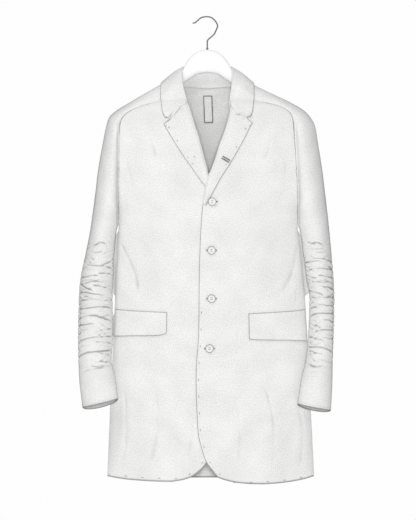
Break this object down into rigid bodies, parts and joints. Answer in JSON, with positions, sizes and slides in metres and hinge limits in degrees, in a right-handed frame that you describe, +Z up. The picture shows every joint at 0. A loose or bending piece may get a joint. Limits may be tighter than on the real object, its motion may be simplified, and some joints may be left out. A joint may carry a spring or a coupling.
{
  "type": "longline blazer on hanger",
  "caption": "Long single-breasted blazer with saddle sleeves, notch lapels, flap pockets and a cutaway hem, on a domed hanger with a wire hook.",
  "frame": {"origin": "inner top of the hanger hook, where it rests on a rail", "axes": "+Z up, the front of the blazer faces -Y, +X to the viewer's right"},
  "size_m": [0.5972, 0.1491, 1.0932],
  "materials": {
    "cloth": "matt woven cloth",
    "label": "matt woven tape",
    "button": "satin",
    "hanger": "satin white",
    "hook": "polished wire"
  },
  "bodies": {
    "root": {"front_left": "cloth", "front_right": "cloth", "back": "cloth", "sleeve_left": "cloth", "sleeve_right": "cloth", "forearm_right": "cloth", "forearm_left": "cloth", "lapel_left": "cloth", "lapel_right": "cloth", "collar_fall": "cloth", "collar_stand": "cloth", "flap_left": "cloth", "flap_right": "cloth", "label": "label", "button_1": "button", "button_2": "button", "button_3": "button", "button_4": "button", "hanger_body": "hanger", "hanger_hook": "hook"}
  },
  "joints": []
}
